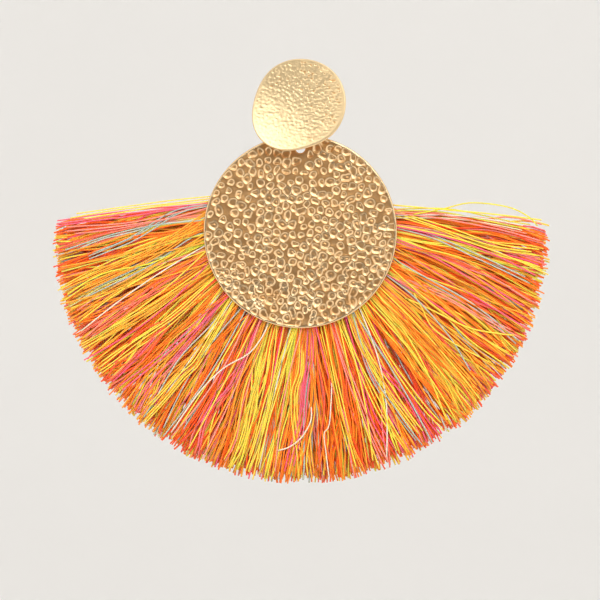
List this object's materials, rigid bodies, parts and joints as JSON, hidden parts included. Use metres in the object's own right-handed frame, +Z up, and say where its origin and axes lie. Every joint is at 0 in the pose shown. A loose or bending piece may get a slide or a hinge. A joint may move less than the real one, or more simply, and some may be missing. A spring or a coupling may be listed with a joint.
{
  "type": "tassel earring",
  "caption": "Drop earring for a pierced ear: a small hammered stud disc carries a large hammered disc on a wire ring, with a wide fan of coloured thread fringe behind it.",
  "frame": {"origin": "root of the ear post on the back of the small disc, where the disc seats on the ear lobe", "axes": "+X to the viewer's right along the fringe's width, +Y back along the ear post, +Z up"},
  "size_m": [0.0888, 0.0133, 0.0763],
  "materials": {
    "gold_stud": "gold-plated brass with a fine hammered texture, polished",
    "gold_wire": "gold-plated brass wire, smooth",
    "gold_disc": "gold-plated brass with round hammer marks, satin",
    "thread": "shiny twisted embroidery thread in orange, yellow, coral, pink and pale blue"
  },
  "bodies": {
    "stud": {"stud": "gold_stud"},
    "ring": {"jump_ring": "gold_wire"},
    "drop": {"large_disc": "gold_disc", "fringe": "thread"}
  },
  "joints": [
    {"name": "ring_swing", "type": "hinge", "parent": "stud", "child": "ring", "pos_m": [0, 0.0029, -0.006], "axis": [1, 0, 0], "range_deg": [-20, 60]},
    {"name": "drop_sway", "type": "hinge", "parent": "ring", "child": "drop", "pos_m": [0, 0.0029, -0.0099], "axis": [0, 1, 0], "range_deg": [-40, 40]}
  ]
}
